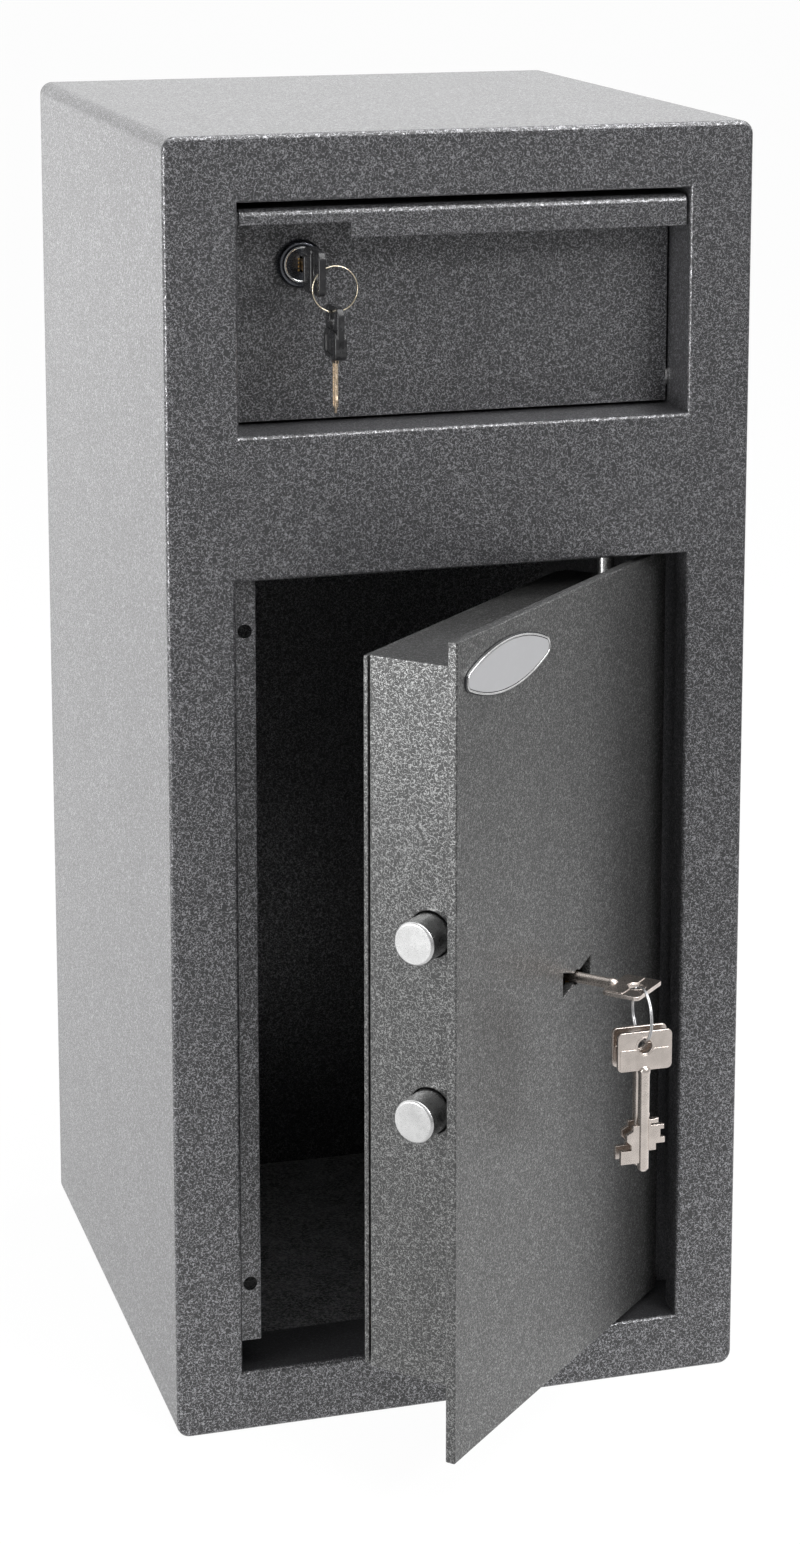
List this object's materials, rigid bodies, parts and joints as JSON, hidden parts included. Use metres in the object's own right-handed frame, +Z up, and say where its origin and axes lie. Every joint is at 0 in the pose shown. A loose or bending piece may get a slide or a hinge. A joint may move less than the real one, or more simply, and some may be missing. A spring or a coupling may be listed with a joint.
{
  "type": "deposit safe",
  "caption": "Tall steel floor safe with a key-locked door on pivot pins, round locking bolts and a tilting deposit flap with a cam lock above.",
  "frame": {"origin": "centre of the base, at the floor, at the centre of the four floor fixing holes", "axes": "+Z up, front face towards -Y, +X to the right as seen from the front"},
  "size_m": [0.35, 0.519, 0.77],
  "materials": {
    "grey_hammer": "dark grey hammertone",
    "door_hammer": "dark grey hammertone",
    "inner_grey": "satin dark grey",
    "bright_steel": "bright turned",
    "plated_steel": "zinc plated",
    "brass": "satin",
    "key_nickel": "warm nickel",
    "black_moulding": "satin black",
    "carpet": "mottled grey pile",
    "badge": "matte light grey"
  },
  "bodies": {
    "cabinet": {"cabinet_wrap": "grey_hammer", "back_plate": "grey_hammer", "front_panel": "grey_hammer", "jamb_top": "grey_hammer", "jamb_right": "grey_hammer", "sill": "inner_grey", "bolt_keeper": "grey_hammer", "pivot_bracket": "inner_grey", "pivot_bush_top": "brass", "pivot_bush_bottom": "brass", "deposit_sleeve": "grey_hammer", "fishing_baffle": "inner_grey", "chute_plate": "inner_grey", "cam_striker": "inner_grey", "floor_mat": "carpet"},
    "door": {"pivot_pins": "bright_steel", "pivot_blocks": "inner_grey", "door_plate": "door_hammer", "door_pan": "door_hammer", "door_back_cover": "door_hammer", "cover_screws": "brass", "badge_plate": "badge", "lock_case": "plated_steel", "lock_cover": "plated_steel", "lever_pack": "brass", "carriage_studs": "plated_steel", "bolt_guide": "plated_steel"},
    "bolt_work": {"bolt_carriage": "plated_steel", "locking_bolts": "bright_steel"},
    "key_in_lock": {"main_key": "key_nickel"},
    "key_ring": {"main_key_ring": "plated_steel"},
    "hung_key_front": {"spare_main_key_front": "key_nickel"},
    "hung_key_back": {"spare_main_key_back": "key_nickel"},
    "flap": {"flap_panel": "grey_hammer", "hopper_cheeks": "grey_hammer", "hopper_floor": "grey_hammer", "flap_pivots": "plated_steel", "flap_washers": "plated_steel", "cam_lock_collar": "black_moulding", "cam_lock_body": "bright_steel", "cam_lock_nut": "bright_steel"},
    "cam_plug": {"cam_lock_plug": "key_nickel", "lock_cam": "plated_steel", "cam_screw": "plated_steel", "cam_key": "black_moulding"},
    "cam_ring": {"cam_key_ring": "plated_steel"},
    "hung_cam_key": {"spare_cam_key": "black_moulding"}
  },
  "joints": [
    {"name": "door_swing", "type": "hinge", "parent": "cabinet", "child": "door", "pos_m": [0.096, -0.159, 0.2765], "axis": [0, 0, 1], "range_deg": [-33.5, 56]},
    {"name": "bolt_throw", "type": "slide", "parent": "door", "child": "bolt_work", "axis": [0.7193, 0.6947, 0], "range_m": [0, 0.018]},
    {"name": "key_turn", "type": "hinge", "parent": "door", "child": "key_in_lock", "pos_m": [0.05484, -0.23211, 0.2793], "axis": [0.6947, -0.7193, 0], "range_deg": [-0.4, 90.4]},
    {"name": "key_ring_swing", "type": "hinge", "parent": "door", "child": "key_ring", "pos_m": [0.08123, -0.25945, 0.2793], "axis": [0.6947, -0.7193, 0], "range_deg": [-4, 5.5]},
    {"name": "hung_key_front_swing", "type": "hinge", "parent": "key_ring", "child": "hung_key_front", "pos_m": [0.08123, -0.27394, 0.2526], "axis": [0, 1, 0], "range_deg": [-20, 20]},
    {"name": "hung_key_back_swing", "type": "hinge", "parent": "key_ring", "child": "hung_key_back", "pos_m": [0.08123, -0.26488, 0.2526], "axis": [0, 1, 0], "range_deg": [-20, 20]},
    {"name": "flap_tilt", "type": "hinge", "parent": "cabinet", "child": "flap", "pos_m": [0.0022, -0.1448, 0.6155], "axis": [1, 0, 0], "range_deg": [0, 50]},
    {"name": "cam_turn", "type": "hinge", "parent": "flap", "child": "cam_plug", "pos_m": [-0.0885, -0.15, 0.6925], "axis": [0, 1, 0], "range_deg": [-90, 0]},
    {"name": "cam_ring_hang", "type": "hinge", "parent": "flap", "child": "cam_ring", "pos_m": [-0.0885, -0.1951, 0.6925], "axis": [1, 0, 0], "range_deg": [-50.5, 0.5]},
    {"name": "hung_cam_key_swing", "type": "hinge", "parent": "cam_ring", "child": "hung_cam_key", "pos_m": [-0.07931, -0.1951, 0.67031], "axis": [1, 0, 0], "range_deg": [-15, 15]}
  ],
  "couplings": [
    {"joint": "key_turn", "follows": "bolt_throw", "rad_per_m": 87.266},
    {"joint": "cam_ring_hang", "follows": "flap_tilt", "ratio": -1}
  ]
}
